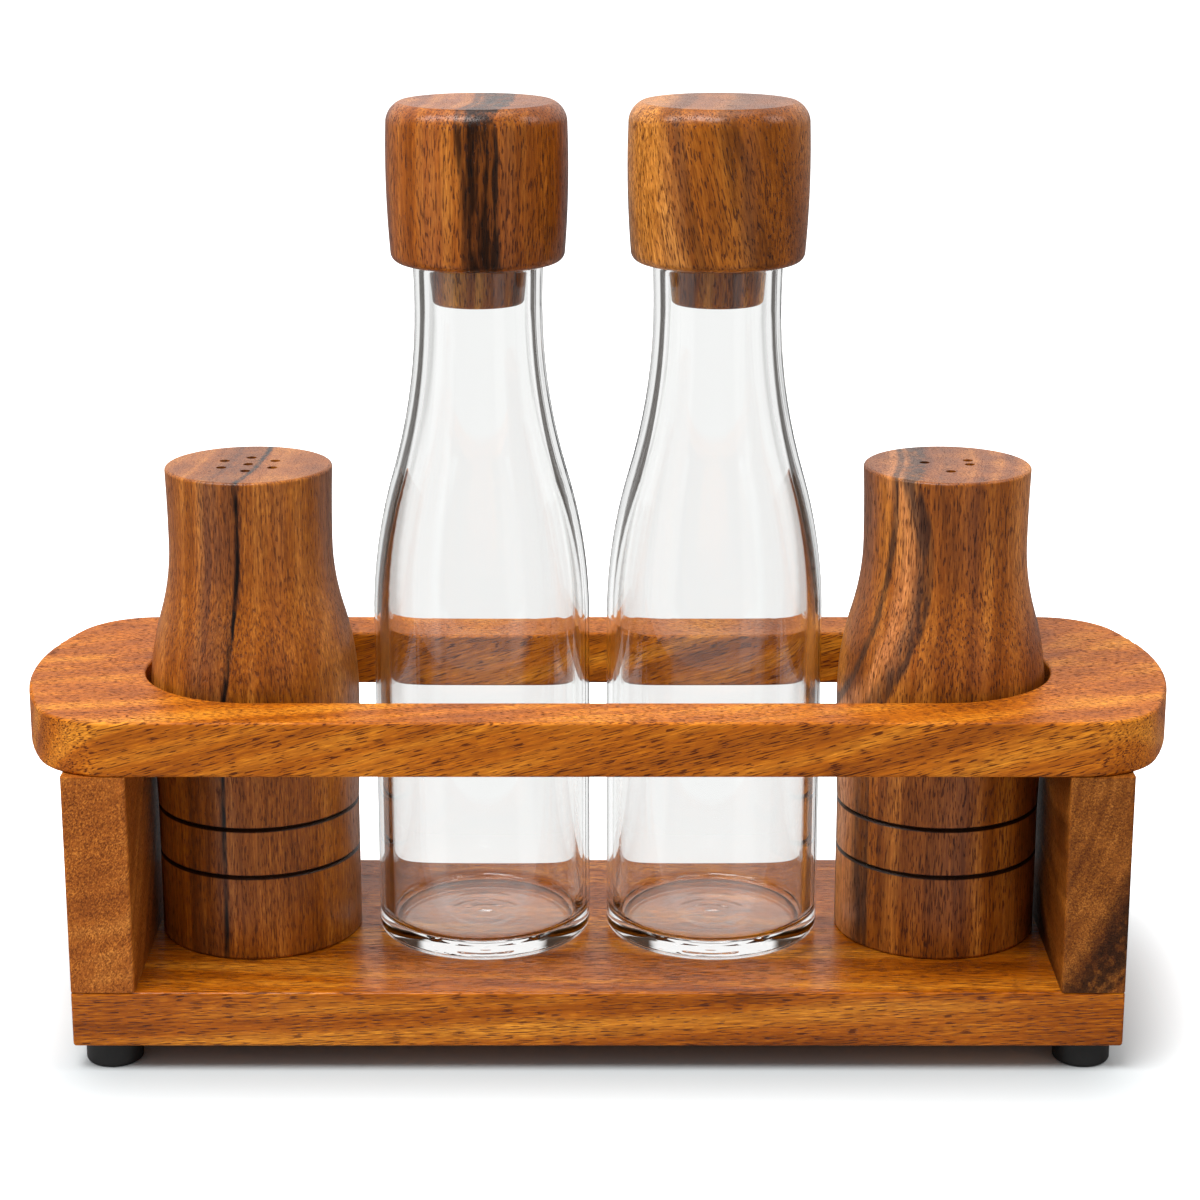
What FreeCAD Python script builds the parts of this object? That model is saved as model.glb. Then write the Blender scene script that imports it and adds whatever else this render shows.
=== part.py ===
import FreeCAD, Part
import math
import os
import re
import Sketcher

# Wooden caddy that holds two stoppered glass bottles and two wooden shakers in one row. Millimetres.
# X runs along the row, -Y is the front, +Z is up. The origin is under the middle, where the feet stand.

# Driving sizes: name, value, what it measures
SIZES = [
    # Row of vessels, from the middle outwards
    ("bottle_radius", 29.43, "glass body"),
    ("shaker_radius", 28.45, "widest turn of a shaker"),
    ("vessel_gap", 4.7, "between neighbours in the row"),
    ("end_gap", 0.45, "shaker to end panel"),
    # Caddy
    ("foot_radius", 7.65, "rubber foot"),
    ("foot_height", 7.15, "rubber foot"),
    ("foot_round", 1.1, "rounding of the foot's lower edge"),
    ("foot_inset", 9.6, "middle of a foot to the base's edges"),
    ("base_thick", 15.5, "base board"),
    ("panel_thick", 17, "end panel"),
    ("panel_height", 60.4, "end panel"),
    ("rail_thick", 15, "top rail"),
    ("rail_overhang", 14.72, "rail past the end panel"),
    ("rail_bow", 95, "radius of the rail's bowed ends"),
    ("rail_corner", 22, "rounding of the rail's corners in plan"),
    ("rail_bar", 17.5, "rail beside the slot"),
    ("slot_clearance", 3.07, "bottle to the slot's long sides"),
    ("slot_setback", 0.8, "slot's end behind the panel's inner face"),
    ("eased_edge", 0.9, "rounding of the boards' edges"),
    # Joinery
    ("dowel_radius", 4, "rail dowel"),
    ("dowel_length", 19, "rail dowel"),
    ("dowel_spread", 30, "dowel to the middle plane"),
    ("glue_gap", 0.1, "around and past glued pieces"),
    ("screw_radius", 2, "panel screw"),
    ("screw_head_radius", 4, "panel screw"),
    ("screw_length", 40, "panel screw, head included"),
    ("screw_spread", 20, "panel screw to the middle plane"),
    ("screw_sink", 0.3, "panel screw's head under the surface"),
    ("screw_clearance", 0.05, "around screws"),
    ("foot_screw_radius", 1.75, "foot screw"),
    ("foot_screw_head_radius", 3.4, "foot screw"),
    ("foot_screw_head", 2, "height of the foot screw's head"),
    ("foot_screw_length", 16, "foot screw under its head"),
    ("foot_hollow", 3.5, "depth of the hollow in a foot for its screw's head"),
    ("foot_hollow_gap", 0.5, "around the foot screw's head"),
    # Bottle
    ("bottle_height", 187.85, "base to rim"),
    ("bottle_body", 90, "straight part of the body"),
    ("bottle_neck", 12, "straight part of the neck"),
    ("neck_radius", 17.04, "outside of the neck"),
    ("lip_flare", 0.27, "the neck widens by this up to the lip"),
    ("lip_round", 1.3, "rounding of the rim"),
    ("glass_wall", 3.85, "glass wall"),
    ("glass_floor", 4.6, "thick glass base"),
    ("floor_round", 2.8, "inner corner of the floor"),
    ("heel_round", 2.4, "outer corner of the base"),
    ("foot_ring", 2.6, "width of the ring that the bottle stands on"),
    ("punt_height", 0.4, "hollow under the bottle"),
    ("bottle_bend", 0.469, "share of the shoulder that bulges"),
    # Stopper
    ("knob_height", 41.9, "stopper knob"),
    ("knob_radius", 24.05, "widest turn of the knob"),
    ("knob_belly", 25.5, "height of the widest turn"),
    ("knob_barrel", 280, "radius of the knob's barrel side"),
    ("knob_shoulder", 6, "rounding between side and top"),
    ("knob_crease", 65, "degrees at which the rounding meets the flat top"),
    ("knob_round", 2.7, "rounding of the knob's lower edge"),
    ("plug_clearance", 0.19, "plug to the neck's bore"),
    ("plug_drop", 10.9, "plug under the knob"),
    ("plug_taper", 0.8, "the plug narrows by this to its end"),
    ("plug_round", 1.5, "rounding of the plug's end"),
    ("plug_tenon", 9, "plug glued into the knob"),
    # Shaker
    ("shaker_height", 132.5, "shaker"),
    ("shaker_base", 27.75, "radius of the straight lower part"),
    ("shaker_belly", 68.3, "height of the widest turn"),
    ("waist_drop", 21.2, "waist under the top"),
    ("waist_radius", 22.14, "narrowest turn"),
    ("shaker_top", 22.6, "radius of the top"),
    ("shaker_bend", 0.55, "share of the upper curve that bulges"),
    ("shaker_edge", 0.9, "rounding of the shaker's edges"),
    ("lower_groove", 24, "height of the lower burnt groove"),
    ("upper_groove", 37.6, "height of the upper burnt groove"),
    ("groove_width", 1.3, "burnt groove"),
    ("groove_depth", 0.8, "burnt groove"),
    ("shaker_bore", 13.5, "radius of the filling bore"),
    ("shaker_cap", 12, "wood over the bore"),
    ("sprinkle_radius", 1.4, "sprinkle hole"),
    ("salt_ring", 7.9, "middle of the salt shaker to its outer holes"),
    ("salt_count", 6, "outer holes of the salt shaker"),
    ("pepper_across", 6, "pepper holes from the middle, along X"),
    ("pepper_back", 4.5, "pepper holes from the middle, to the back"),
    ("pepper_pair", 4.8, "between the right pair of pepper holes"),
    ("pepper_front", 8.4, "front pepper hole from the middle"),
    # Filler plug
    ("flange_radius", 16.4, "filler plug's flange"),
    ("flange_thick", 1.8, "filler plug's flange"),
    ("flange_gap", 0.25, "around the flange"),
    ("filler_recess", 0.4, "flange above the surface that the shaker stands on"),
    ("filler_height", 9, "filler plug over its flange"),
    ("filler_gap", 0.6, "stem to the bore"),
    ("filler_wall", 2, "filler plug's wall and floor"),
    ("rib_height", 1.8, "sealing rib"),
    ("rib_reach", 0.52, "sealing rib, past the stem"),
    ("rib_lift", 2.8, "sealing rib over the flange"),
]

# Sizes that follow from them
LEVELS = [
    ("bottle_x", "bottle_radius + vessel_gap / 2"),
    ("shaker_x", "bottle_x + bottle_radius + vessel_gap + shaker_radius"),
    ("panel_inner", "shaker_x + shaker_radius + end_gap"),
    ("panel_x", "panel_inner + panel_thick / 2"),
    ("base_end", "panel_inner + panel_thick"),
    ("rail_end", "base_end + rail_overhang"),
    ("slot_side", "bottle_radius + slot_clearance"),
    ("slot_middle", "panel_inner + slot_setback - slot_side"),
    ("caddy_side", "slot_side + rail_bar"),
    ("foot_x", "base_end - foot_inset"),
    ("foot_y", "caddy_side - foot_inset"),
    ("base_top", "foot_height + base_thick"),
    ("rail_level", "base_top + panel_height"),
    ("rim_level", "base_top + bottle_height"),
    ("dowel_level", "rail_level - dowel_length / 2"),
    ("dowel_hole", "dowel_radius + glue_gap"),
    ("dowel_hole_depth", "dowel_length / 2 + glue_gap"),
    ("screw_hole", "screw_radius + screw_clearance"),
    ("screw_head", "screw_head_radius - screw_radius"),
    ("screw_level", "foot_height + screw_sink"),
    ("foot_screw_hole", "foot_screw_radius + screw_clearance"),
    ("foot_hollow_radius", "foot_screw_head_radius + foot_hollow_gap"),
    ("neck_level", "bottle_height - bottle_neck"),
    ("neck_bore", "neck_radius - glass_wall"),
    ("plug_radius", "neck_bore - plug_clearance"),
    ("waist_level", "shaker_height - waist_drop"),
    ("filler_stem", "shaker_bore - filler_gap"),
]

doc = FreeCAD.newDocument("condiment_caddy")
sheet = doc.addObject("Spreadsheet::Sheet", "Sizes")
for row, (name, number, note) in enumerate(SIZES, 1):
    sheet.set(f"A{row}", name)
    sheet.set(f"B{row}", str(number))
    sheet.set(f"C{row}", note)
    sheet.setAlias(f"B{row}", name)
for row, (name, text) in enumerate(LEVELS, len(SIZES) + 1):
    sheet.set(f"A{row}", name)
    sheet.set(f"B{row}", "=" + text)
    sheet.setAlias(f"B{row}", name)
doc.recompute()

NAMES = re.compile(r"\b(" + "|".join(entry[0] for entry in SIZES + LEVELS) + r")\b")


def value(text):
    """Number that a formula of the sheet's names gives."""
    return float(sheet.evalExpression(text))


def bind(thing, prop, text):
    """Ties a property to a formula of the sheet's names."""
    thing.setExpression(prop, NAMES.sub(r"Sizes.\1", text))


def place(thing, x="0", y="0", z="0"):
    """Ties an object's place to three formulas."""
    for axis, text in zip("xyz", (x, y, z)):
        bind(thing, "Placement.Base." + axis, text)


def new_body(name, x="0", y="0", z="0"):
    """Empty body of one piece."""
    body = doc.addObject("PartDesign::Body", name)
    body.Label = name
    place(body, x, y, z)
    return body


# Sketches


def new_sketch(body, name, plane, level="0"):
    """Empty sketch on one of the body's own planes, raised to a level."""
    sketch = body.newObject("Sketcher::SketchObject", name)
    support = next(flat for flat in body.Origin.OriginFeatures if flat.Role == plane)
    sketch.AttachmentSupport = [(support, "")]
    sketch.MapMode = "FlatFace"
    bind(sketch, "AttachmentOffset.Base.z", level)
    return sketch


def constrain(sketch, kind, *what, text):
    """Constraint of a sketch whose size is a formula."""
    row = sketch.addConstraint(Sketcher.Constraint(kind, *what, value(text)))
    bind(sketch, f"Constraints[{row}]", text)


def pin(sketch, curve, end, x, y):
    """Holds a point of a curve at the place that two formulas give."""
    constrain(sketch, "DistanceX", -1, 1, curve, end, text=x)
    constrain(sketch, "DistanceY", -1, 1, curve, end, text=y)


def arc_between(start, end, radius):
    """Arc from start to end. Its centre is on the left of the way, or on the right if radius is negative."""
    chord = end - start
    across = FreeCAD.Vector(-chord.y, chord.x, 0).normalize() * math.copysign(1, radius)
    reach = math.sqrt(max(radius ** 2 - (chord.Length / 2) ** 2, 0))
    centre = (start + end) * 0.5 + across * reach
    first, last = (start, end) if radius > 0 else (end, start)
    angles = [math.atan2(point.y - centre.y, point.x - centre.x) for point in (first, last)]
    return Part.ArcOfCircle(Part.Circle(centre, FreeCAD.Vector(0, 0, 1), abs(radius)), *angles)


def outline(sketch, steps):
    """Closed outline. A step is (x, y) for a straight side up to that point, or (x, y, radius) for an arc.

    The arc's centre is on the left of the way along the outline, or on the right if radius starts with -.
    """
    points = [FreeCAD.Vector(value(step[0]), value(step[1]), 0) for step in steps]
    ends = []
    for number, step in enumerate(steps):
        start, end = points[number - 1], points[number]
        if len(step) == 2:
            curve = sketch.addGeometry(Part.LineSegment(start, end))
            ends.append((curve, 1, 2))
        else:
            radius = value(step[2])
            curve = sketch.addGeometry(arc_between(start, end, radius))
            ends.append((curve, 1, 2) if radius > 0 else (curve, 2, 1))
    for number, step in enumerate(steps):
        before, curve = ends[number - 1], ends[number]
        sketch.addConstraint(Sketcher.Constraint("Coincident", before[0], before[2], curve[0], curve[1]))
    for (curve, _, last), step in zip(ends, steps):
        pin(sketch, curve, last, step[0], step[1])
        if len(step) == 3:
            constrain(sketch, "Radius", curve, text=step[2].lstrip("-"))


def rectangle(sketch, half_x, half_y):
    """Rectangle about the sketch's origin."""
    outline(sketch, [(half_x, f"-({half_y})"), (half_x, half_y), (f"-({half_x})", half_y),
                     (f"-({half_x})", f"-({half_y})")])


def circles(sketch, centres, radius):
    """Circles of one radius at the given centres."""
    for x, y in centres:
        middle = FreeCAD.Vector(value(x), value(y), 0)
        curve = sketch.addGeometry(Part.Circle(middle, FreeCAD.Vector(0, 0, 1), value(radius)))
        pin(sketch, curve, 3, x, y)
        constrain(sketch, "Radius", curve, text=radius)


def four_corners(x, y):
    """The four places at plus and minus x and y."""
    return [(f"{side_x}{x}", f"{side_y}{y}") for side_x in ("-", "") for side_y in ("-", "")]


def two_sides(x, y):
    """The two places at x and plus and minus y."""
    return [(x, f"-{y}"), (x, y)]


def s_curve(x0, y0, x1, y1, share):
    """Two steps of an outline from x0, y0 up to x1, y1, upright at both ends: a bulge, then a hollow."""
    across = f"({x0} - {x1})"
    rise = f"({y1} - {y0})"
    both = f"({rise}^2 + {across}^2) / (2 * {across})"
    return [(f"{x0} - {share} * {across}", f"{y0} + {share} * {rise}", f"{share} * {both}"),
            (x1, y1, f"-(1 - {share}) * {both}")]


def bow(rise, across):
    """Radius of an arc that starts upright and drifts sideways by across over rise."""
    return f"(({rise})^2 + ({across})^2) / (2 * ({across}))"


# Features of a body


def add(body, kind, name, sketch, **sizes):
    """Feature that adds material to a body from a sketch."""
    feature = body.newObject("PartDesign::" + kind, name)
    feature.Profile = sketch
    for prop, text in sizes.items():
        bind(feature, prop, text)
    doc.recompute()
    return feature


def turn(body, name, steps):
    """Body turned about its Z axis from an outline of radius and height."""
    sketch = new_sketch(body, name + "_profile", "XZ_Plane")
    outline(sketch, steps)
    feature = body.newObject("PartDesign::Revolution", name)
    feature.Profile = sketch
    feature.ReferenceAxis = (sketch, ["V_Axis"])
    doc.recompute()
    return feature


def cut(body, name, sketch, upwards=False, **sizes):
    """Pocket of a body, with a test that it takes material away."""
    before = body.Shape.Volume
    feature = body.newObject("PartDesign::Pocket", name)
    feature.Profile = sketch
    feature.Reversed = upwards
    for prop, text in sizes.items():
        bind(feature, prop, text)
    if not sizes:
        feature.Type = "ThroughAll"
    doc.recompute()
    if feature.Shape.Volume >= before:
        raise RuntimeError(f"{body.Label}: {name} cuts nothing")
    return feature


def drill(body, name, centres, radius, level="0", upwards=False, **sizes):
    """Round holes of a body, downwards from a level, or upwards."""
    sketch = new_sketch(body, name + "_centres", "XY_Plane", level)
    circles(sketch, centres, radius)
    return cut(body, name, sketch, upwards, **sizes)


def edges_where(feature, test):
    """Names of the feature's edges that pass the test."""
    return [f"Edge{number}" for number, edge in enumerate(feature.Shape.Edges, 1) if test(edge)]


def round_edges(body, name, radius, test):
    """Fillet on the edges of the body's last feature that pass the test."""
    last = body.Tip
    feature = body.newObject("PartDesign::Fillet", name)
    feature.Base = (last, edges_where(last, test))
    bind(feature, "Radius", radius)
    doc.recompute()
    return feature


def upright(edge):
    """Is the edge a straight vertical one?"""
    return edge.BoundBox.ZLength > 1 and edge.BoundBox.XLength + edge.BoundBox.YLength < 1e-6


def level_at(height):
    """Test for edges that lie flat at one height."""
    return lambda edge: edge.BoundBox.ZLength < 1e-6 and abs(edge.BoundBox.ZMin - height) < 1e-6


# Base board: one plank, with holes from below for the panels' screws and the feet's screws


def make_base_board():
    body = new_body("base_board", z="foot_height")
    plank = new_sketch(body, "plank_outline", "XY_Plane")
    rectangle(plank, "base_end", "caddy_side")
    add(body, "Pad", "plank", plank, Length="base_thick")
    round_edges(body, "eased_edges", "eased_edge", lambda edge: True)
    marks = new_sketch(body, "panel_screw_centres", "XY_Plane")
    circles(marks, four_corners("panel_x", "screw_spread"), "screw_hole")
    holes = body.newObject("PartDesign::Hole", "panel_screw_holes")
    holes.Profile = marks
    doc.recompute()
    holes.Reversed = True
    holes.DepthType = "ThroughAll"
    holes.HoleCutType = "Countersink"
    holes.HoleCutCustomValues = True
    holes.HoleCutCountersinkAngle = 90
    bind(holes, "Diameter", "2 * screw_hole")
    bind(holes, "HoleCutDiameter", "2 * (screw_head_radius + screw_sink + screw_clearance)")
    doc.recompute()
    drill(body, "foot_screw_holes", four_corners("foot_x", "foot_y"), "foot_screw_hole", upwards=True,
          Length="foot_hollow + foot_screw_length - foot_height + glue_gap")
    return body


# End panels: upright boards with dowel holes on top and screw holes below


def make_end_panel(name, side):
    body = new_body(name, x=side + "panel_x", z="base_top")
    board = new_sketch(body, "board_outline", "XY_Plane")
    rectangle(board, "panel_thick / 2", "caddy_side")
    add(body, "Pad", "board", board, Length="panel_height")
    round_edges(body, "eased_edges", "eased_edge", upright)
    drill(body, "dowel_holes", two_sides("0", "dowel_spread"), "dowel_hole", "panel_height",
          Length="dowel_hole_depth")
    drill(body, "screw_holes", two_sides("0", "screw_spread"), "screw_hole", upwards=True,
          Length="screw_level + screw_length - base_top + glue_gap")
    return body


# Top rail: a board with bowed ends, round corners and a long oval slot that the vessels stand in


def slot_outline(sketch):
    """Two straight sides tangent to two half circles."""
    middle, side = value("slot_middle"), value("slot_side")
    up = FreeCAD.Vector(0, 0, 1)
    for sign, first in ((1, -math.pi / 2), (-1, math.pi / 2)):
        end = Part.Circle(FreeCAD.Vector(sign * middle, 0, 0), up, side)
        sketch.addGeometry(Part.ArcOfCircle(end, first, first + math.pi))
    for sign in (1, -1):
        sketch.addGeometry(Part.LineSegment(FreeCAD.Vector(sign * middle, sign * side, 0),
                                            FreeCAD.Vector(-sign * middle, sign * side, 0)))
    for joint in ((0, 2, 2, 1), (2, 2, 1, 1), (1, 2, 3, 1), (3, 2, 0, 1)):
        sketch.addConstraint(Sketcher.Constraint("Tangent", *joint))
    sketch.addConstraint(Sketcher.Constraint("Equal", 0, 1))
    sketch.addConstraint(Sketcher.Constraint("Symmetric", 0, 3, 1, 3, -1, 1))
    sketch.addConstraint(Sketcher.Constraint("PointOnObject", 0, 3, -1))
    constrain(sketch, "DistanceX", -1, 1, 0, 3, text="slot_middle")
    constrain(sketch, "Radius", 0, text="slot_side")


def make_top_rail():
    body = new_body("top_rail", z="rail_level")
    board = new_sketch(body, "board_outline", "XY_Plane")
    corner = "(rail_end - rail_bow + sqrt(rail_bow^2 - caddy_side^2))"
    outline(board, [(corner, "-caddy_side"), (corner, "caddy_side", "rail_bow"),
                    ("-" + corner, "caddy_side"), ("-" + corner, "-caddy_side", "rail_bow")])
    add(body, "Pad", "board", board, Length="rail_thick")
    round_edges(body, "round_corners", "rail_corner", upright)
    slot = new_sketch(body, "slot_outline", "XY_Plane", "rail_thick")
    slot_outline(slot)
    cut(body, "slot", slot)
    top, bottom = level_at(value("rail_thick")), level_at(0)
    round_edges(body, "eased_edges", "eased_edge", lambda edge: top(edge) or bottom(edge))
    spots = four_corners("panel_x", "dowel_spread")
    drill(body, "dowel_holes", spots, "dowel_hole", upwards=True, Length="dowel_hole_depth")
    return body


# Joinery: dowels glued between panel and rail, and screws driven from below


def make_dowel(x, y):
    dowel = doc.addObject("Part::Cylinder", "dowel")
    bind(dowel, "Radius", "dowel_radius")
    bind(dowel, "Height", "dowel_length")
    place(dowel, x, y, "dowel_level")
    return dowel


def make_screw(x, y, z, radius, low_head, high_head, head_height, length):
    """Screw that points up: its head starts at z, and length runs from there to the shank's end."""
    head = doc.addObject("Part::Cone", "head")
    bind(head, "Radius1", low_head)
    bind(head, "Radius2", high_head)
    bind(head, "Height", head_height)
    place(head, x, y, z)
    shank = doc.addObject("Part::Cylinder", "shank")
    bind(shank, "Radius", radius)
    bind(shank, "Height", length)
    place(shank, x, y, z)
    screw = doc.addObject("Part::Fuse", "screw")
    screw.Base = head
    screw.Tool = shank
    return screw


def make_group(name, pieces):
    group = doc.addObject("Part::Compound", name)
    group.Label = name
    group.Links = pieces
    return group


def make_joinery():
    dowels = [make_dowel(x, y) for x, y in four_corners("panel_x", "dowel_spread")]
    panel_screws = [make_screw(x, y, "screw_level", "screw_radius", "screw_head_radius", "screw_radius",
                               "screw_head", "screw_length")
                    for x, y in four_corners("panel_x", "screw_spread")]
    foot_screws = [make_screw(x, y, "foot_hollow - foot_screw_head", "foot_screw_radius",
                              "foot_screw_head_radius", "foot_screw_head_radius", "foot_screw_head",
                              "(foot_screw_head + foot_screw_length)")
                   for x, y in four_corners("foot_x", "foot_y")]
    return [make_group("rail_dowels", dowels), make_group("panel_screws", panel_screws),
            make_group("foot_screws", foot_screws)]


# Feet: rubber rings, hollow below for the screw's head


def make_foot(name, x, y):
    body = new_body(name, x, y)
    turn(body, "foot", [
        ("foot_hollow_radius", "0"),
        ("foot_radius - foot_round", "0"),
        ("foot_radius", "foot_round", "foot_round"),
        ("foot_radius", "foot_height"),
        ("foot_screw_hole", "foot_height"),
        ("foot_screw_hole", "foot_hollow"),
        ("foot_hollow_radius", "foot_hollow"),
    ])
    return body


# Bottles: an even glass wall all the way up, over a thick base with a shallow hollow under it


def make_bottle(name, side):
    body = new_body(name, x=side + "bottle_x", z="base_top")
    ring = "(bottle_radius - heel_round - foot_ring)"
    across = "(bottle_radius - neck_radius)"
    rise = "(neck_level - bottle_body)"
    both = f"(({rise}^2 + {across}^2) / (2 * {across}))"
    outside = s_curve("bottle_radius", "bottle_body", "neck_radius", "neck_level", "bottle_bend")
    bend_x, bend_y, bulge = outside[0]
    hollow = outside[1][2].lstrip("-")
    lip = "(neck_radius + lip_flare)"
    turn(body, "bottle", [
        ("0", "punt_height"),
        (ring, "0", f"-({ring}^2 + punt_height^2) / (2 * punt_height)"),
        ("bottle_radius - heel_round", "0"),
        ("bottle_radius", "heel_round", "heel_round"),
        ("bottle_radius", "bottle_body"),
        *outside,
        (lip, "bottle_height - lip_round", "-" + bow("bottle_neck - lip_round", "lip_flare")),
        (f"{lip} - lip_round", "bottle_height", "lip_round"),
        ("neck_bore + lip_round", "bottle_height"),
        ("neck_bore", "bottle_height - lip_round", "lip_round"),
        ("neck_bore", "neck_level"),
        (f"{bend_x} - glass_wall * (1 - {across} / {both})", f"{bend_y} - glass_wall * {rise} / {both}",
         f"{hollow} + glass_wall"),
        ("bottle_radius - glass_wall", "bottle_body", f"-({bulge} - glass_wall)"),
        ("bottle_radius - glass_wall", "glass_floor + floor_round"),
        ("bottle_radius - glass_wall - floor_round", "glass_floor", "-floor_round"),
        ("0", "glass_floor"),
    ])
    return body


# Stoppers: a barrel-shaped knob that rests on the rim, and a tapered plug glued into it


def make_stopper_knob(name, side):
    body = new_body(name, x=side + "bottle_x", z="rim_level")
    # The rounded shoulder leaves the barrel side smoothly and meets the flat top at a crease
    barrel_x = "(knob_radius - knob_barrel)"
    shoulder_y = "(knob_height - knob_shoulder * sin(knob_crease))"
    slope = f"(({shoulder_y} - knob_belly) / (knob_barrel - knob_shoulder))"
    level = f"sqrt(1 - {slope}^2)"
    shoulder_x = f"({barrel_x} + (knob_barrel - knob_shoulder) * {level})"
    foot_x = f"({barrel_x} + sqrt(knob_barrel^2 - knob_belly^2))"
    turn(body, "knob", [
        ("0", "0"),
        (foot_x, "0"),
        (f"{barrel_x} + knob_barrel * {level}", f"knob_belly + knob_barrel * {slope}", "knob_barrel"),
        (f"{shoulder_x} + knob_shoulder * cos(knob_crease)", "knob_height", "knob_shoulder"),
        ("0", "knob_height"),
    ])
    round_edges(body, "round_foot", "knob_round", level_at(0))
    drill(body, "plug_socket", [("0", "0")], "plug_radius + glue_gap", upwards=True,
          Length="plug_tenon + glue_gap")
    return body


def make_stopper_plug(name, side):
    body = new_body(name, x=side + "bottle_x", z="rim_level - plug_drop")
    end = "(plug_radius - plug_taper)"
    turn(body, "plug", [
        ("0", "0"),
        (f"{end} - plug_round", "0"),
        (end, "plug_round", "plug_round"),
        ("plug_radius", "plug_drop"),
        ("plug_radius", "plug_drop + plug_tenon"),
        ("0", "plug_drop + plug_tenon"),
    ])
    return body


# Shakers: turned wood with two burnt grooves, a filling bore from below and sprinkle holes on top


def make_shaker(name, side, drill_top):
    body = new_body(name, x=side + "shaker_x", z="base_top")
    turn(body, "turned_blank", [
        ("0", "0"),
        ("shaker_base", "0"),
        ("shaker_base", "upper_groove"),
        ("shaker_radius", "shaker_belly", bow("shaker_belly - upper_groove", "shaker_radius - shaker_base")),
        *s_curve("shaker_radius", "shaker_belly", "waist_radius", "waist_level", "shaker_bend"),
        ("shaker_top", "shaker_height", "-" + bow("waist_drop", "shaker_top - waist_radius")),
        ("0", "shaker_height"),
    ])
    top = level_at(value("shaker_height"))
    bottom = level_at(0)
    round_edges(body, "soft_edges", "shaker_edge", lambda edge: top(edge) or bottom(edge))
    for groove in ("lower_groove", "upper_groove"):
        before = body.Shape.Volume
        vee = new_sketch(body, groove + "_profile", "XZ_Plane")
        outline(vee, [(f"shaker_base - groove_depth", groove),
                      ("shaker_base + groove_depth", f"{groove} - groove_width"),
                      ("shaker_base + groove_depth", f"{groove} + groove_width")])
        burn = body.newObject("PartDesign::Groove", groove + "_cut")
        burn.Profile = vee
        burn.ReferenceAxis = (vee, ["V_Axis"])
        doc.recompute()
        if burn.Shape.Volume >= before:
            raise RuntimeError(f"{name}: {groove} cuts nothing")
    drill(body, "filling_bore", [("0", "0")], "shaker_bore", upwards=True,
          Length="shaker_height - shaker_cap")
    drill(body, "flange_seat", [("0", "0")], "flange_radius + flange_gap", upwards=True,
          Length="filler_recess + flange_thick")
    drill_top(body)
    return body


def drill_salt_holes(body):
    """One hole in the middle and a ring of holes about it."""
    depth = "shaker_cap + glue_gap"
    drill(body, "middle_hole", [("0", "0")], "sprinkle_radius", "shaker_height", Length=depth)
    hole = drill(body, "ring_hole", [("0", "salt_ring")], "sprinkle_radius", "shaker_height", Length=depth)
    ring = body.newObject("PartDesign::PolarPattern", "hole_ring")
    ring.Originals = [hole]
    ring.Axis = (hole.Profile[0], ["N_Axis"])
    bind(ring, "Occurrences", "salt_count")
    body.Tip = ring
    doc.recompute()


def drill_pepper_holes(body):
    """Four holes: one on the left, a pair on the right and one in front."""
    spots = [("-pepper_across", "pepper_back - pepper_pair / 2"), ("pepper_across", "pepper_back"),
             ("pepper_across", "pepper_back - pepper_pair"), ("0", "-pepper_front")]
    drill(body, "pepper_holes", spots, "sprinkle_radius", "shaker_height", Length="shaker_cap + glue_gap")


# Filler plugs: soft cups with a flange and a sealing rib, pressed into the bore from below


def make_filler_plug(name, side):
    body = new_body(name, x=side + "shaker_x", z="base_top + filler_recess")
    rib = "(((rib_height / 2)^2 + rib_reach^2) / (2 * rib_reach))"
    rib_level = "flange_thick + rib_lift"
    turn(body, "filler_plug", [
        ("0", "0"),
        ("flange_radius", "0"),
        ("flange_radius", "flange_thick"),
        ("filler_stem", "flange_thick"),
        ("filler_stem", rib_level),
        ("filler_stem", f"{rib_level} + rib_height", rib),
        ("filler_stem", "flange_thick + filler_height"),
        ("filler_stem - filler_wall", "flange_thick + filler_height"),
        ("filler_stem - filler_wall", "filler_wall"),
        ("0", "filler_wall"),
    ])
    return body


nodes = [
    make_base_board(),
    make_end_panel("left_end_panel", "-"),
    make_end_panel("right_end_panel", ""),
    make_top_rail(),
    *make_joinery(),
    make_foot("front_left_foot", "-foot_x", "-foot_y"),
    make_foot("front_right_foot", "foot_x", "-foot_y"),
    make_foot("back_left_foot", "-foot_x", "foot_y"),
    make_foot("back_right_foot", "foot_x", "foot_y"),
    make_shaker("salt_shaker", "-", drill_salt_holes),
    make_shaker("pepper_shaker", "", drill_pepper_holes),
    make_filler_plug("salt_filler_plug", "-"),
    make_filler_plug("pepper_filler_plug", ""),
]
for word, side in (("left", "-"), ("right", "")):
    nodes.append(make_bottle(word + "_bottle", side))
    nodes.append(make_stopper_knob(word + "_stopper_knob", side))
    nodes.append(make_stopper_plug(word + "_stopper_plug", side))
doc.recompute()

# Tests before anything is written
for thing in doc.Objects:
    if {"Invalid", "Error"} & set(thing.State):
        raise RuntimeError(f"{thing.Label} failed: {thing.State}")
    if thing.isDerivedFrom("Sketcher::SketchObject") and not thing.FullyConstrained:
        raise RuntimeError(f"{thing.Label} is not fully constrained")
for node in nodes:
    if node.Shape.isNull() or not node.Shape.isValid():
        raise RuntimeError(f"{node.Label} has no valid shape")
    solids = 4 if node.TypeId == "Part::Compound" else 1
    if len(node.Shape.Solids) != solids:
        raise RuntimeError(f"{node.Label} has {len(node.Shape.Solids)} solids")

os.makedirs("parts", exist_ok=True)
for node in nodes:
    node.Shape.exportStep(f"parts/{node.Label}.step")
    box = node.Shape.optimalBoundingBox()
    print(f"{node.Label}: {node.Shape.Volume:.0f} mm3, X {box.XMin:.2f}..{box.XMax:.2f}, "
          f"Y {box.YMin:.2f}..{box.YMax:.2f}, Z {box.ZMin:.2f}..{box.ZMax:.2f}")
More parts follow.
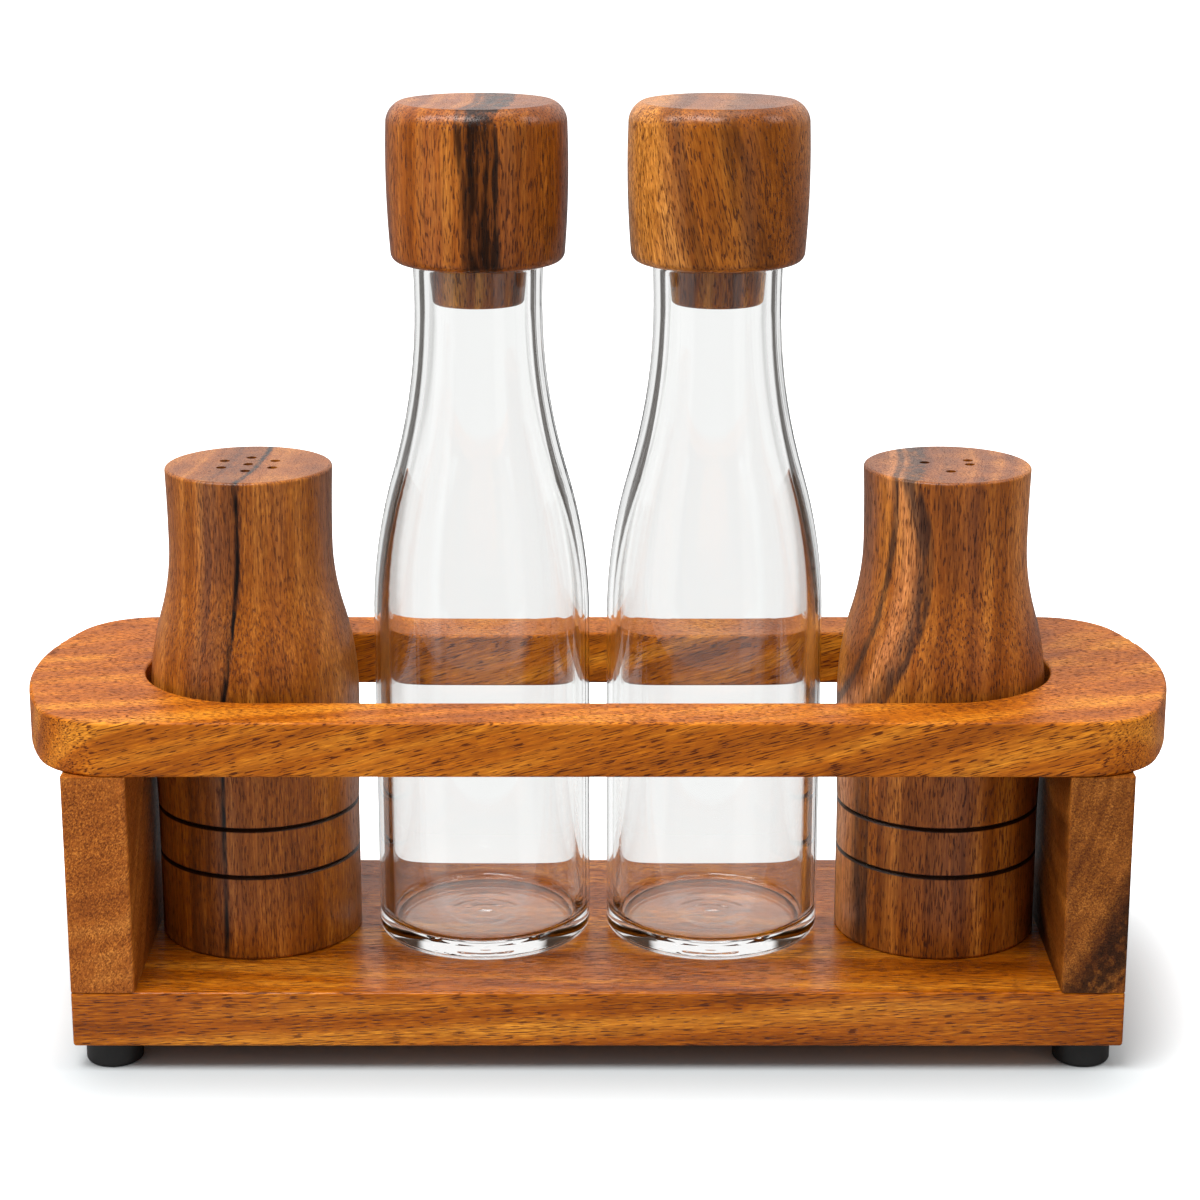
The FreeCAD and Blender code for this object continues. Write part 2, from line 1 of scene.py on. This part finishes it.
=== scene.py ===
import math
import bmesh
import bpy
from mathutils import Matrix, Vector


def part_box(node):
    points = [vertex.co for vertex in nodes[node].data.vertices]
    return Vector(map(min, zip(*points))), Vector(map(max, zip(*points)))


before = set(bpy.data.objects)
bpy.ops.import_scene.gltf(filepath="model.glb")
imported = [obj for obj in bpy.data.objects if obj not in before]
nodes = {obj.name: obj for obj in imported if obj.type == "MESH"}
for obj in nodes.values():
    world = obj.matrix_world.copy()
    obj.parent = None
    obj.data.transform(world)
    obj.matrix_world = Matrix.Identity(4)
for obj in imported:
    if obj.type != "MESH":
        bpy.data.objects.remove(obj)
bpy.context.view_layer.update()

# Base board
# The real piece is one plank of acacia, planed, with eased edges and a clear satin lacquer.
# The panels stand on it and its long grain runs from end to end.


def tone(red, green, blue):
    """Scene colour of a colour as a screen shows it, each part from 0 to 255."""
    parts = [part / 255 for part in (red, green, blue)]
    return [part / 12.92 if part <= 0.04045 else ((part + 0.055) / 1.055) ** 2.4 for part in parts] + [1]


def feed(tree, spot, source):
    """Gives a socket a value or another node's output."""
    if isinstance(source, bpy.types.NodeSocket):
        tree.links.new(source, spot)
    else:
        spot.default_value = source


def add(tree, kind, inputs, output=0, **settings):
    """Adds a shader node and gives one of its outputs."""
    node = tree.nodes.new("ShaderNode" + kind)
    for name, setting in settings.items():
        setattr(node, name, setting)
    for name, source in inputs.items():
        feed(tree, node.inputs[name], source)
    return node.outputs[output] if node.outputs else node


def sums(tree, operation, first, second=0.0, third=0.0):
    """Adds a Math node."""
    return add(tree, "Math", {0: first, 1: second, 2: third}, operation=operation)


def shift(tree, operation, first, second):
    """Adds a Vector Math node."""
    return add(tree, "VectorMath", {0: first, 1: second}, operation=operation)


def coordinates(tree, place):
    """X, Y and Z of a place or a direction."""
    parts = tree.nodes.new("ShaderNodeSeparateXYZ")
    tree.links.new(place, parts.inputs[0])
    return parts.outputs["X"], parts.outputs["Y"], parts.outputs["Z"]


def noise(tree, place, across, along, detail=2.0, rough=0.5, output="Fac"):
    """Cloudy pattern, 0 to 1, with so many clouds to the metre across the grain and along it."""
    stretched = shift(tree, "MULTIPLY", place, (across, across, along))
    inputs = {"Vector": stretched, "Scale": 1.0, "Detail": detail, "Roughness": rough}
    return add(tree, "TexNoise", inputs, output)


def between(tree, source, low, high, start=0.0, end=1.0):
    """Start where source is under low, end where it is over high, and a smooth step in between."""
    return add(tree, "MapRange", {"Value": source, "From Min": low, "From Max": high, "To Min": start,
                                  "To Max": end}, interpolation_type="SMOOTHSTEP")


def blend(tree, share, first, second, kind="MIX"):
    """Mixes two colours."""
    node = tree.nodes.new("ShaderNodeMix")
    node.data_type = "RGBA"
    node.blend_type = kind
    for name, source in (("Factor_Float", share), ("A_Color", first), ("B_Color", second)):
        feed(tree, next(spot for spot in node.inputs if spot.identifier == name), source)
    return next(spot for spot in node.outputs if spot.identifier == "Result_Color")


def stained(tree, colour, red, green, blue):
    """A colour with each of its parts multiplied."""
    return blend(tree, 1.0, colour, (red, green, blue, 1), "MULTIPLY")


def new_material(name):
    """Empty material and its node tree."""
    material = bpy.data.materials.new(name)
    material.use_nodes = True
    material.node_tree.nodes.clear()
    return material, material.node_tree


def centre(node):
    """Middle of a CAD node."""
    low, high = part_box(node)
    return (low + high) / 2


def distance_from_heart(tree, place, seeded, heart, wander):
    """How much farther from the tree's heart a place lies than the node's middle, as the rings wander."""
    stray = shift(tree, "SUBTRACT", noise(tree, seeded, across=28, along=9, output="Color"), (0.5, 0.5, 0.5))
    bent = shift(tree, "ADD", place, shift(tree, "MULTIPLY", stray, (2 * wander, 2 * wander, 0)))
    away = shift(tree, "MULTIPLY", shift(tree, "SUBTRACT", bent, (*heart, 0)), (1, 1, 0))
    away = add(tree, "VectorMath", {0: away}, "Value", operation="LENGTH")
    return sums(tree, "SUBTRACT", away, math.hypot(*heart))


def growth_rings(tree, away, seeded, tones, seed, ring, contrast):
    """Colour of the growth rings, from rings about the heart and clouds drawn out along the grain."""
    rings = add(tree, "TexNoise", {"W": sums(tree, "MULTIPLY_ADD", away, 1 / ring, 40 * seed), "Scale": 1.0,
                                   "Detail": 2.5, "Roughness": 0.55}, noise_dimensions="1D")
    clouds = noise(tree, seeded, across=90, along=16, detail=3.0)
    figure = sums(tree, "MULTIPLY_ADD", clouds, 0.5, sums(tree, "MULTIPLY", rings, 0.5))
    ramp = tree.nodes.new("ShaderNodeValToRGB")
    ramp.color_ramp.elements.new(0.5)
    spread = 0.13 / contrast
    for element, where, colour in zip(ramp.color_ramp.elements, (0.5 - spread, 0.5, 0.5 + spread), tones):
        element.position = where
        element.color = tone(*colour)
    tree.links.new(figure, ramp.inputs["Fac"])
    return ramp.outputs["Color"]


def heartwood_and_painted_highlight(tree, colour, away, height, seeded, number, place, width, inner, outer, depth, streak_colour,
              lean=0.0, bend=0.0):
    """Adds a streak of another colour to the wood, ragged and broken up along the grain.

    place, lean and bend give the edge that lies away from the heart, at a height over the node's middle.
    inner and outer are how softly the two edges end, and depth is how much of its colour the streak takes.
    The pale streaks are painted highlights.
    """
    line = sums(tree, "MULTIPLY_ADD", height, bend, lean)
    line = sums(tree, "MULTIPLY_ADD", height, line, place)
    ragged = sums(tree, "SUBTRACT", noise(tree, seeded, across=420 + 90 * number, along=40, detail=3.0), 0.5)
    past = sums(tree, "SUBTRACT", away, line)
    past = sums(tree, "MULTIPLY_ADD", ragged, 0.3 * width + 0.6 * (inner + outer), past)
    near = sums(tree, "MULTIPLY", between(tree, past, -width - inner, -width),
                between(tree, past, 0.0, outer, start=1.0, end=0.0))
    gaps = noise(tree, seeded, across=520, along=70, detail=3.0)
    broken = between(tree, gaps, 0.36, 0.56, start=0.55 * depth, end=depth)
    return blend(tree, sums(tree, "MULTIPLY", near, broken), colour, tone(*streak_colour))


def fibres_and_pores(tree, colour, seeded, pores, pore_length, flecks):
    """Adds fibres, pale flecks where they surface, and the short open pores that the lacquer leaves dark.

    It gives the colour, the fibres and the pores.
    """
    fibres = noise(tree, seeded, across=1500, along=60)
    colour = blend(tree, between(tree, fibres, 0.2, 0.8), stained(tree, colour, 0.64, 0.57, 0.48),
                   stained(tree, colour, 1.2, 1.2, 1.18))
    cells = noise(tree, seeded, across=2900, along=230 / pore_length, detail=1.0, rough=0.4)
    crowd = between(tree, noise(tree, seeded, across=160, along=30), 0.25, 0.75, start=0.62, end=0.56)
    pits = between(tree, sums(tree, "SUBTRACT", cells, crowd), 0.0, 0.05, end=pores)
    colour = blend(tree, pits, colour, stained(tree, colour, 0.2, 0.12, 0.06))
    pale = between(tree, sums(tree, "ADD", cells, crowd), 0.96, 1.02, start=flecks, end=0.0)
    return blend(tree, pale, colour, stained(tree, colour, 1.6, 2.0, 2.3)), fibres, pits


def burnt_line(tree, colour, height, level):
    """Chars a line round a turned piece at one height."""
    off = sums(tree, "ABSOLUTE", sums(tree, "SUBTRACT", height, level))
    return blend(tree, between(tree, off, 0.0005, 0.0009, start=0.95, end=0.0), colour, tone(22, 10, 5))


def acacia(node, grain, heart, tones, seed, ring=0.006, wander=0.004, streaks=(), pores=0.8, pore_length=1.0,
           flecks=0.3, contrast=1.0, gloss=0.42, sheen=0.25, burns=()):
    """Gives a CAD node its lacquered acacia.

    grain is the way the fibres run, and heart is where the tree's heart lies across them, from the node's
    middle. tones are the dark, the middle and the light colour of the growth rings, about ring wide. Streaks
    run straight below the node's middle. burns are the heights of lines burnt in with a wire.
    """
    material, tree = new_material(node + "_wood")
    spot = add(tree, "TexCoord", {}, "Object")
    turn = Vector(grain).rotation_difference(Vector((0, 0, 1))).to_euler()
    place = add(tree, "Mapping", {"Vector": shift(tree, "SUBTRACT", spot, centre(node)), "Rotation": turn})
    seeded = shift(tree, "ADD", place, (seed, seed * 0.7, seed * 1.3))
    away = distance_from_heart(tree, place, seeded, heart, wander)
    colour = growth_rings(tree, away, seeded, tones, seed, ring, contrast)
    height = sums(tree, "MAXIMUM", coordinates(tree, place)[2], 0.0)
    for number, streak in enumerate(streaks):
        colour = heartwood_and_painted_highlight(tree, colour, away, height, seeded, number, **streak)
    colour, fibres, pits = fibres_and_pores(tree, colour, seeded, pores, pore_length, flecks)
    for level in burns:
        colour = burnt_line(tree, colour, coordinates(tree, spot)[2], level)
    relief = sums(tree, "MULTIPLY_ADD", fibres, 0.3, sums(tree, "MULTIPLY", pits, -1.0))
    bump = add(tree, "Bump", {"Height": relief, "Distance": 0.0002, "Strength": 0.8})
    shine = sums(tree, "MULTIPLY_ADD", pits, 0.25, gloss)
    surface = add(tree, "BsdfPrincipled", {"Base Color": colour, "Roughness": shine, "Normal": bump,
                                           "Specular IOR Level": sheen})
    add(tree, "OutputMaterial", {"Surface": surface})
    nodes[node].material_slots[0].material = material


acacia("base_board", grain=(1, 0, 0.05), heart=(0.09, 0.04), seed=1.0,
       tones=((120, 54, 2), (168, 88, 10), (206, 128, 36)), contrast=0.7, flecks=0.5, gloss=0.26, sheen=0.22)

# End panels
# Two upright boards of the same wood, glued and screwed to the base. Their front faces show end grain,
# and the right one carries a dark heartwood streak across its lower half.

acacia("left_end_panel", grain=(0.35, 0.6, 0.72), heart=(0.1, 0.2), seed=2.0,
       tones=((134, 68, 18), (164, 90, 28), (192, 118, 48)), contrast=0.6,
       pores=0.5, pore_length=0.5, flecks=0.7, sheen=0.15)
acacia("right_end_panel", grain=(0.25, 0.85, 0.45), heart=(-0.071, -0.037), seed=3.0,
       tones=((98, 48, 10), (132, 72, 18), (168, 100, 36)), contrast=0.8,
       pores=0.5, pore_length=0.5, flecks=0.6, sheen=0.15,
       streaks=[dict(place=0.016, width=0.005, inner=0.009, outer=0.003, depth=0.85, streak_colour=(36, 17, 7))])

# Top rail
# One board with bowed ends, round corners and a long oval slot. It lies on the panels, on four dowels,
# and its long grain runs from end to end.

acacia("top_rail", grain=(1, 0, 0.26), heart=(-0.1, 0.05), seed=4.0,
       tones=((134, 64, 3), (182, 98, 10), (218, 138, 38)), contrast=0.6, pores=0.9, flecks=0.4, sheen=0.15)

# Joinery
# Beech dowels are glued between the panels and the rail. Zinc-plated screws come from below, four through
# the base into the panels and one through each foot.

steel, tree = new_material("zinc_plated_steel")
cloud = noise(tree, add(tree, "TexCoord", {}, "Object"), across=900, along=900, detail=3.0)
surface = add(tree, "BsdfPrincipled", {"Base Color": tone(196, 198, 200), "Metallic": 1.0,
                                       "Roughness": between(tree, cloud, 0.2, 0.8, start=0.28, end=0.42)})
add(tree, "OutputMaterial", {"Surface": surface})
for node in ("panel_screws", "foot_screws"):
    nodes[node].material_slots[0].material = steel
acacia("rail_dowels", grain=(0, 0, 1), heart=(0.3, 0.1), seed=5.0,
       tones=((196, 160, 112), (214, 180, 134), (226, 196, 154)), pores=0.3)

# Feet
# Four moulded black rubber feet with a satin skin.
# Each is held by a screw in its hollow and carries a corner of the base.

rubber, tree = new_material("black_rubber")
cloud = noise(tree, add(tree, "TexCoord", {}, "Object"), across=2600, along=2600)
bump = add(tree, "Bump", {"Height": cloud, "Distance": 0.00003, "Strength": 0.5})
surface = add(tree, "BsdfPrincipled", {"Base Color": blend(tree, cloud, tone(20, 20, 20), tone(32, 31, 30)),
                                       "Roughness": 0.5, "Normal": bump})
add(tree, "OutputMaterial", {"Surface": surface})
for corner in ("front_left", "front_right", "back_left", "back_right"):
    nodes[corner + "_foot"].material_slots[0].material = rubber

# Bottles
# Two clear pressed-glass bottles with an even wall and a thick base that shows faint rings from the mould.
# Lamps shine through them onto the wood.

RING_STEP = 0.0042
RING_DEPTH = 0.00002
RINGS_FADE_FROM = 0.010
RINGS_END = 0.016
GLASS_FLOOR = 0.030
FLOOR_MARGIN = 0.001


def hypotenuse(tree, first, second):
    """Length of the long side of a right-angled triangle."""
    square = sums(tree, "MULTIPLY", second, second)
    return sums(tree, "SQRT", sums(tree, "MULTIPLY_ADD", first, first, square))


glass, tree = new_material("clear_glass")
x, y, z = coordinates(tree, add(tree, "TexCoord", {}, "Object"))
across = sums(tree, "SUBTRACT", sums(tree, "ABSOLUTE", x), abs(centre("right_bottle").x))
radius = hypotenuse(tree, across, y)
waves = sums(tree, "SINE", sums(tree, "MULTIPLY", radius, 2 * math.pi / RING_STEP))
low = between(tree, z, GLASS_FLOOR - FLOOR_MARGIN, GLASS_FLOOR + FLOOR_MARGIN, start=1.0, end=0.0)
inside = between(tree, radius, RINGS_FADE_FROM, RINGS_END, start=1.0, end=0.0)
waves = sums(tree, "MULTIPLY", waves, sums(tree, "MULTIPLY", low, inside))
rings = add(tree, "Bump", {"Height": waves, "Distance": RING_DEPTH, "Strength": 1.0})
surface = add(tree, "BsdfPrincipled", {"Base Color": (0.99, 0.995, 0.99, 1), "Roughness": 0.0, "IOR": 1.5,
                                       "Transmission Weight": 1.0, "Normal": rings})
see_through = add(tree, "BsdfTransparent", {"Color": (0.87, 0.88, 0.87, 1)})
for_lamps = add(tree, "LightPath", {}, "Is Shadow Ray")
surface = add(tree, "MixShader", {0: for_lamps, 1: surface, 2: see_through})
add(tree, "OutputMaterial", {"Surface": surface})
for side in ("left", "right"):
    nodes[side + "_bottle"].material_slots[0].material = glass

# Stoppers
# Each is a barrel-shaped knob turned from one block, which rests on the bottle's rim.
# The tapered plug glued into it is turned from another block.

acacia("left_stopper_knob", grain=(0, 0, 1), heart=(-0.12, 0.01), seed=6.0, wander=0.0015,
       tones=((114, 54, 10), (154, 82, 20), (190, 118, 46)), contrast=0.7,
       pore_length=0.7, gloss=0.28, sheen=0.3,
       streaks=[dict(place=0.0098, lean=-0.04, width=0.0062, inner=0.003, outer=0.0009, depth=0.95,
                     streak_colour=(28, 13, 6)),
                dict(place=0.0022, lean=-0.09, width=0.0007, inner=0.001, outer=0.0008, depth=0.8,
                     streak_colour=(40, 20, 10)),
                # The third streak softly darkens the right part of the knob.
                dict(place=0.029, width=0.018, inner=0.002, outer=0.001, depth=0.35, streak_colour=(80, 36, 6))])
acacia("right_stopper_knob", grain=(-0.22, 0, 1), heart=(-0.12, 0.02), seed=7.0, ring=0.012, wander=0.002,
       tones=((108, 54, 8), (144, 78, 16), (180, 108, 34)), contrast=0.6,
       pore_length=0.7, gloss=0.28, sheen=0.3,
       # The first streak, a pale band down the left side, is a painted highlight and painted light from the
       # lamps at the left.
       streaks=[dict(place=-0.010, width=0.012, inner=0.004, outer=0.006, depth=0.65, streak_colour=(224, 148, 66)),
                dict(place=-0.002, width=0.001, inner=0.004, outer=0.001, depth=0.5, streak_colour=(78, 40, 14)),
                dict(place=0.0125, width=0.003, inner=0.004, outer=0.002, depth=0.5, streak_colour=(62, 32, 14))])
for side, seed in (("left", 8.0), ("right", 9.0)):
    acacia(side + "_stopper_plug", grain=(0, 0, 1), heart=(0.05, 0.02), seed=seed, ring=0.003,
           tones=((112, 54, 8), (174, 94, 24), (220, 146, 60)), sheen=0.1)

# Shakers
# Turned and bored from one block each, with two lines burnt in by a wire and holes drilled in the top.
# The streaks in a block curve alike, as the tree grew; the pale band on the pepper shaker is painted in as a
# highlight along the same curve.

BURNT_LINES = (0.04665, 0.06025)
SLIGHT_CURVE = dict(lean=0.17, bend=-1.8)
STRONG_CURVE = dict(lean=0.753, bend=-8.9)
acacia("salt_shaker", grain=(0, 0, 1), heart=(-0.15, 0.02), seed=10.0, wander=0.0015,
       tones=((116, 58, 6), (154, 84, 18), (190, 118, 46)), contrast=0.7,
       pores=0.6, pore_length=0.6, flecks=0.45, gloss=0.34, sheen=0.35, burns=BURNT_LINES,
       streaks=[dict(SLIGHT_CURVE, place=0.0, width=0.006, inner=0.004, outer=0.0006, depth=0.5,
                     streak_colour=(78, 42, 30)),
                dict(SLIGHT_CURVE, place=0.0, width=0.0005, inner=0.0012, outer=0.0005, depth=1.0,
                     streak_colour=(20, 12, 12)),
                dict(SLIGHT_CURVE, place=-0.008, width=0.002, inner=0.003, outer=0.001, depth=0.5,
                     streak_colour=(80, 42, 28))])
acacia("pepper_shaker", grain=(0, 0, 1), heart=(-0.15, 0.02), seed=11.0, wander=0.002,
       tones=((112, 54, 8), (154, 84, 20), (200, 124, 46)), contrast=0.7,
       pore_length=0.7, flecks=0.35, gloss=0.34, sheen=0.35, burns=BURNT_LINES,
       # The first streak, a pale band down the left side, is a painted highlight and painted light from the
       # lamps at the left.
       streaks=[dict(STRONG_CURVE, place=-0.0205, width=0.005, inner=0.002, outer=0.002, depth=0.5,
                     streak_colour=(222, 146, 88)),
                dict(STRONG_CURVE, place=-0.0172, width=0.003, inner=0.003, outer=0.0015, depth=0.85,
                     streak_colour=(50, 32, 27)),
                dict(place=-0.0275, lean=0.56, bend=-4.9, width=0.0008, inner=0.0012, outer=0.0008,
                     depth=0.8, streak_colour=(46, 28, 20)),
                dict(STRONG_CURVE, place=-0.0105, width=0.0006, inner=0.003, outer=0.001, depth=0.35,
                     streak_colour=(90, 46, 20))])

# Filler plugs
# Milky silicone cups with a flange, moulded in one piece.
# They are pushed into the shakers from below and close the filling holes.

silicone, tree = new_material("milky_silicone")
cloud = noise(tree, add(tree, "TexCoord", {}, "Object"), across=400, along=400)
milk = blend(tree, cloud, tone(214, 214, 206), tone(228, 228, 222))
surface = add(tree, "BsdfPrincipled", {"Base Color": milk, "Roughness": 0.45, "Subsurface Weight": 0.2,
                                       "Subsurface Scale": 0.003})
add(tree, "OutputMaterial", {"Surface": surface})
for kind in ("salt", "pepper"):
    nodes[kind + "_filler_plug"].material_slots[0].material = silicone

# Studio
# A white floor that runs up to the horizon, and a white sky. The edges of the glass show a dark gap at each
# side of a white background. Glass and lacquer mirror two tall cards in front and a darker room. Gap, cards
# and room are
# painted reflections: floor and sky show them only to what leaves glass or what a surface mirrors, and they
# light nothing.

# Angles in radians, the gap's from straight behind the set and the cards' from straight in front of it
GAP = (0.45, 0.83)
LEFT_PAINTED_CARD = (-1.35, -0.75)
RIGHT_PAINTED_CARD = (0.49, 0.83)
SOFT_END = 0.06


def grey(level):
    """Colour with all its parts at one level."""
    return level, level, level, 1


def band(tree, turn, low, high):
    """One between two angles and nothing outside, with soft ends."""
    return sums(tree, "MULTIPLY", between(tree, turn, low - SOFT_END, low + SOFT_END),
                between(tree, turn, high - SOFT_END, high + SOFT_END, start=1.0, end=0.0))


def seen_through(tree, x, y, gap_share):
    """Colour that clear glass shows of what lies behind and beside it, towards a place or a direction.

    The gap shows fully past the two faces of one wall, at the outlines of the bottles, and only faintly
    past the four faces of two walls.
    """
    turn = sums(tree, "ABSOLUTE", sums(tree, "ARCTAN2", x, y))
    white = blend(tree, between(tree, turn, 1.0, 2.0), grey(1.0), grey(0.6))
    faces = add(tree, "LightPath", {}, "Transmission Depth")
    gap_share = sums(tree, "MULTIPLY", between(tree, faces, 2.4, 3.6, start=1.0, end=0.4), gap_share)
    return blend(tree, sums(tree, "MULTIPLY", band(tree, turn, *GAP), gap_share), white, tone(64, 56, 49))


def mirrored(tree, x, y, back_level):
    """Brightness that a mirror shows in a direction: two cards in front, and the back at its own level."""
    # The two cards are painted reflections: bright bands that only mirrors see.
    turn = sums(tree, "ARCTAN2", x, sums(tree, "MULTIPLY", y, -1.0))
    cards = sums(tree, "ADD", band(tree, turn, *LEFT_PAINTED_CARD),
                 sums(tree, "MULTIPLY", band(tree, turn, *RIGHT_PAINTED_CARD), 0.8))
    room = between(tree, sums(tree, "ABSOLUTE", turn), 1.5, 2.0, start=0.08, end=back_level)
    return sums(tree, "MULTIPLY_ADD", cards, 0.8, room)


def by_path(tree, direct, glassy, glossy, other):
    """Colour for the camera, for what leaves glass, for what a surface mirrors, and for all other light."""
    path = tree.nodes.new("ShaderNodeLightPath")
    colour = blend(tree, path.outputs["Is Glossy Ray"], other, glossy)
    colour = blend(tree, path.outputs["Is Transmission Ray"], colour, glassy)
    return blend(tree, path.outputs["Is Camera Ray"], colour, direct)


# The floor shows the set's shadow near it, deepened by painted shade, and fades to plain white from these
# distances over a width.
FLOOR_REACH = 12
FADE_FROM_X = 0.125
FADE_FROM_Y = 0.05
FADE_WIDTH = 0.085
floor_sheet = bmesh.new()
bmesh.ops.create_grid(floor_sheet, x_segments=1, y_segments=1, size=FLOOR_REACH)
floor_mesh = bpy.data.meshes.new("studio_floor")
floor_sheet.to_mesh(floor_mesh)
floor_sheet.free()
floor = bpy.data.objects.new("studio_floor", floor_mesh)
bpy.context.scene.collection.objects.link(floor)

paper, tree = new_material("white_paper")
x, y, z = coordinates(tree, add(tree, "TexCoord", {}, "Object"))
beside = sums(tree, "MAXIMUM", sums(tree, "SUBTRACT", sums(tree, "ABSOLUTE", x), FADE_FROM_X), 0.0)
before = sums(tree, "MAXIMUM", sums(tree, "SUBTRACT", sums(tree, "ABSOLUTE", y), FADE_FROM_Y), 0.0)
away = hypotenuse(tree, beside, before)
far = between(tree, away, 0.0, FADE_WIDTH)
through = blend(tree, far, grey(0.0), seen_through(tree, x, y, between(tree, away, 0.15, 0.3)))
# Painted reflections: away from the set the floor glows with the cards and the room only for what a surface
# mirrors.
shine = sums(tree, "MULTIPLY", far, mirrored(tree, x, y, 0.3))
glow = by_path(tree, direct=far, glassy=through, glossy=shine, other=grey(0.0))
# Painted shade: near the set the camera sees the paper darker and cooler than the light it bounces, which
# deepens the set's shadow; what a surface mirrors sees it darker there, and glass brighter.
shade = by_path(tree, direct=blend(tree, far, (0.53, 0.56, 0.57, 1), grey(0.85)),
                glassy=blend(tree, far, grey(0.8), grey(0.0)),
                glossy=blend(tree, far, grey(0.25), grey(0.0)), other=grey(0.65))
both = tree.nodes.new("ShaderNodeAddShader")
tree.links.new(add(tree, "BsdfDiffuse", {"Color": shade}), both.inputs[0])
tree.links.new(add(tree, "Emission", {"Color": glow}), both.inputs[1])
add(tree, "OutputMaterial", {"Surface": both.outputs[0]})
floor_mesh.materials.append(paper)

world = bpy.data.worlds.new("studio_sky")
bpy.context.scene.world = world
world.use_nodes = True
tree = world.node_tree
tree.nodes.clear()
x, y, z = coordinates(tree, add(tree, "TexCoord", {}, "Generated"))
sky = by_path(tree, direct=grey(1.0), glassy=seen_through(tree, x, y, 1.0),
              glossy=mirrored(tree, x, y, between(tree, z, 0.1, 0.25, start=0.7, end=1.1)), other=grey(0.42))
add(tree, "OutputWorld", {"Surface": add(tree, "Background", {"Color": sky})})

# Light passes a dozen glass surfaces in the thick bases of the bottles.
GLASS_BOUNCES = 24
MIRROR_BOUNCES = 16
bpy.context.scene.cycles.max_bounces = GLASS_BOUNCES
bpy.context.scene.cycles.transmission_bounces = GLASS_BOUNCES
bpy.context.scene.cycles.glossy_bounces = MIRROR_BOUNCES

LAMPS_AIM = Vector((0, 0, 0.12))


def soft_lamp(name, place, width, height, watts):
    """Rectangular softbox that faces the middle of the set."""
    lamp = bpy.data.lights.new(name, "AREA")
    lamp.shape = "RECTANGLE"
    lamp.size = width
    lamp.size_y = height
    lamp.energy = watts
    holder = bpy.data.objects.new(name, lamp)
    bpy.context.scene.collection.objects.link(holder)
    holder.location = place
    holder.rotation_euler = (LAMPS_AIM - Vector(place)).to_track_quat("-Z", "Y").to_euler()


soft_lamp("lamp_above", (0.0, 0.0, 1.5), width=1.2, height=0.8, watts=7)
soft_lamp("lamp_left", (-0.85, -0.2, 1.1), width=0.35, height=0.5, watts=6)
soft_lamp("lamp_right", (0.95, -0.05, 0.95), width=0.35, height=0.5, watts=3)
soft_lamp("lamp_front", (-0.35, -0.62, 1.5), width=0.9, height=0.5, watts=19)

# Camera
# It looks slightly down at the front, as the photograph does.
# Its place, pitch and focal length are fitted to the outlines there.

CAMERA_PLACE = (0.00055, -0.7806, 0.3375)
CAMERA_PITCH = 15.77
FOCAL_LENGTH = 89.0
camera_data = bpy.data.cameras.new("camera")
camera_data.sensor_width = 36
camera_data.lens = FOCAL_LENGTH
camera = bpy.data.objects.new("camera", camera_data)
bpy.context.scene.collection.objects.link(camera)
camera.location = CAMERA_PLACE
camera.rotation_euler = (math.radians(90 - CAMERA_PITCH), 0, 0)
bpy.context.scene.camera = camera
bpy.context.scene.view_settings.view_transform = "Standard"
